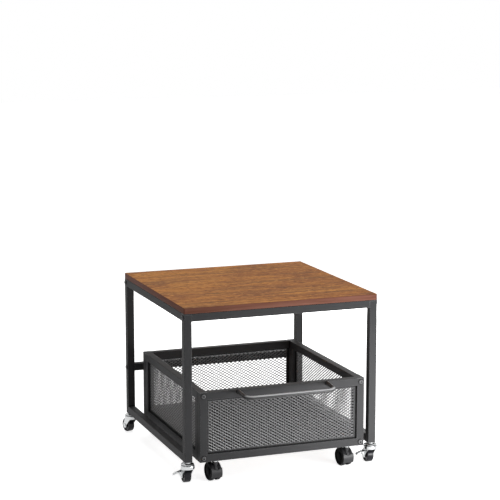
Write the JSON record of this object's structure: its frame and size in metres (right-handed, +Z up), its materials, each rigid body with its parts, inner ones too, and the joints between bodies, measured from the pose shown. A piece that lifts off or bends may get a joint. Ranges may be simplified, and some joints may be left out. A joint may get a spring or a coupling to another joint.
{
  "type": "mini fridge stand",
  "caption": "Rolling square tube stand with a wooden board top for a small appliance, and a mesh drawer below that rolls out on its own casters by a bow handle.",
  "frame": {"origin": "on the floor under the middle of the whole object's box, drawer in and casters at rest", "axes": "+Z up, -Y to the front where the drawer comes out, +X to the right seen from the front"},
  "size_m": [0.5528, 0.606, 0.4485],
  "materials": {
    "board": "satin rustic brown",
    "coat": "matt powder coat",
    "cap": "matt",
    "zinc": "bright zinc plate",
    "wheel": "satin",
    "hood": "satin",
    "twin_wheel": "satin"
  },
  "bodies": {
    "stand": {"top_board": "board", "front_top_rail": "coat", "rear_top_rail": "coat", "rear_mid_rail": "coat", "left_top_rail": "coat", "right_top_rail": "coat", "left_bottom_rail": "coat", "right_bottom_rail": "coat", "leg_caps": "cap", "frame_bolts": "coat", "board_screws": "zinc", "caster_sockets": "cap", "caster_stems": "zinc", "front_left_leg": "coat", "front_right_leg": "coat", "rear_left_leg": "coat", "rear_right_leg": "coat"},
    "drawer": {"drawer_front_frame": "coat", "drawer_front_mesh": "coat", "drawer_rear_frame": "coat", "drawer_rear_mesh": "coat", "drawer_left_frame": "coat", "drawer_left_mesh": "coat", "drawer_right_frame": "coat", "drawer_right_mesh": "coat", "drawer_floor_mesh": "coat", "drawer_handle": "coat", "handle_screws": "zinc", "drawer_bolts": "coat", "drawer_caster_stems": "zinc"},
    "front_left_caster": {"front_left_fork": "zinc", "front_left_axle": "zinc"},
    "front_left_caster_wheel": {"front_left_wheel": "wheel"},
    "front_left_brake": {"front_left_brake_lever": "zinc"},
    "front_right_caster": {"front_right_fork": "zinc", "front_right_axle": "zinc"},
    "front_right_caster_wheel": {"front_right_wheel": "wheel"},
    "front_right_brake": {"front_right_brake_lever": "zinc"},
    "rear_left_caster": {"rear_left_fork": "zinc", "rear_left_axle": "zinc"},
    "rear_left_caster_wheel": {"rear_left_wheel": "wheel"},
    "rear_right_caster": {"rear_right_fork": "zinc", "rear_right_axle": "zinc"},
    "rear_right_caster_wheel": {"rear_right_wheel": "wheel"},
    "drawer_front_left_caster": {"drawer_front_left_hood": "hood"},
    "drawer_front_left_caster_wheels": {"drawer_front_left_twin_wheels": "twin_wheel", "drawer_front_left_twin_axle": "zinc"},
    "drawer_front_right_caster": {"drawer_front_right_hood": "hood"},
    "drawer_front_right_caster_wheels": {"drawer_front_right_twin_wheels": "twin_wheel", "drawer_front_right_twin_axle": "zinc"},
    "drawer_rear_left_caster": {"drawer_rear_left_hood": "hood"},
    "drawer_rear_left_caster_wheels": {"drawer_rear_left_twin_wheels": "twin_wheel", "drawer_rear_left_twin_axle": "zinc"},
    "drawer_rear_right_caster": {"drawer_rear_right_hood": "hood"},
    "drawer_rear_right_caster_wheels": {"drawer_rear_right_twin_wheels": "twin_wheel", "drawer_rear_right_twin_axle": "zinc"}
  },
  "joints": [
    {"name": "drawer_roll", "type": "slide", "parent": "stand", "child": "drawer", "axis": [0, -1, 0], "range_m": [-0.015, 0.55]},
    {"name": "front_left_swivel", "type": "hinge", "parent": "stand", "child": "front_left_caster", "pos_m": [-0.24138, -0.22551, 0.0475], "axis": [0, 0, 1], "continuous": true},
    {"name": "front_left_roll", "type": "hinge", "parent": "front_left_caster", "child": "front_left_caster_wheel", "pos_m": [-0.24138, -0.21152, 0.019], "axis": [1, 0, 0], "continuous": true},
    {"name": "front_left_brake", "type": "hinge", "parent": "front_left_caster", "child": "front_left_brake", "pos_m": [-0.25838, -0.21152, 0.0265], "axis": [0, -1, 0], "range_deg": [0, 18]},
    {"name": "front_right_swivel", "type": "hinge", "parent": "stand", "child": "front_right_caster", "pos_m": [0.25862, -0.22551, 0.0475], "axis": [0, 0, 1], "continuous": true},
    {"name": "front_right_roll", "type": "hinge", "parent": "front_right_caster", "child": "front_right_caster_wheel", "pos_m": [0.25862, -0.21152, 0.019], "axis": [1, 0, 0], "continuous": true},
    {"name": "front_right_brake", "type": "hinge", "parent": "front_right_caster", "child": "front_right_brake", "pos_m": [0.24163, -0.21152, 0.0265], "axis": [0, -1, 0], "range_deg": [0, 18]},
    {"name": "rear_left_swivel", "type": "hinge", "parent": "stand", "child": "rear_left_caster", "pos_m": [-0.24138, 0.26948, 0.0475], "axis": [0, 0, 1], "continuous": true},
    {"name": "rear_left_roll", "type": "hinge", "parent": "rear_left_caster", "child": "rear_left_caster_wheel", "pos_m": [-0.245, 0.28301, 0.019], "axis": [0.9659, 0.2588, 0], "continuous": true},
    {"name": "rear_right_swivel", "type": "hinge", "parent": "stand", "child": "rear_right_caster", "pos_m": [0.25862, 0.26948, 0.0475], "axis": [0, 0, 1], "continuous": true},
    {"name": "rear_right_roll", "type": "hinge", "parent": "rear_right_caster", "child": "rear_right_caster_wheel", "pos_m": [0.25862, 0.28348, 0.019], "axis": [1, 0, 0], "continuous": true},
    {"name": "drawer_front_left_swivel", "type": "hinge", "parent": "drawer", "child": "drawer_front_left_caster", "pos_m": [-0.17087, -0.23301, 0.046], "axis": [0, 0, 1], "continuous": true},
    {"name": "drawer_front_left_roll", "type": "hinge", "parent": "drawer_front_left_caster", "child": "drawer_front_left_caster_wheels", "pos_m": [-0.17234, -0.21909, 0.024], "axis": [0.9945, 0.1045, 0], "continuous": true},
    {"name": "drawer_front_right_swivel", "type": "hinge", "parent": "drawer", "child": "drawer_front_right_caster", "pos_m": [0.18812, -0.23301, 0.046], "axis": [0, 0, 1], "continuous": true},
    {"name": "drawer_front_right_roll", "type": "hinge", "parent": "drawer_front_right_caster", "child": "drawer_front_right_caster_wheels", "pos_m": [0.18666, -0.21909, 0.024], "axis": [0.9945, 0.1045, 0], "continuous": true},
    {"name": "drawer_rear_left_swivel", "type": "hinge", "parent": "drawer", "child": "drawer_rear_left_caster", "pos_m": [-0.17087, 0.22698, 0.046], "axis": [0, 0, 1], "continuous": true},
    {"name": "drawer_rear_left_roll", "type": "hinge", "parent": "drawer_rear_left_caster", "child": "drawer_rear_left_caster_wheels", "pos_m": [-0.17234, 0.24091, 0.024], "axis": [0.9945, 0.1045, 0], "continuous": true},
    {"name": "drawer_rear_right_swivel", "type": "hinge", "parent": "drawer", "child": "drawer_rear_right_caster", "pos_m": [0.18812, 0.22698, 0.046], "axis": [0, 0, 1], "continuous": true},
    {"name": "drawer_rear_right_roll", "type": "hinge", "parent": "drawer_rear_right_caster", "child": "drawer_rear_right_caster_wheels", "pos_m": [0.18666, 0.24091, 0.024], "axis": [0.9945, 0.1045, 0], "continuous": true}
  ]
}
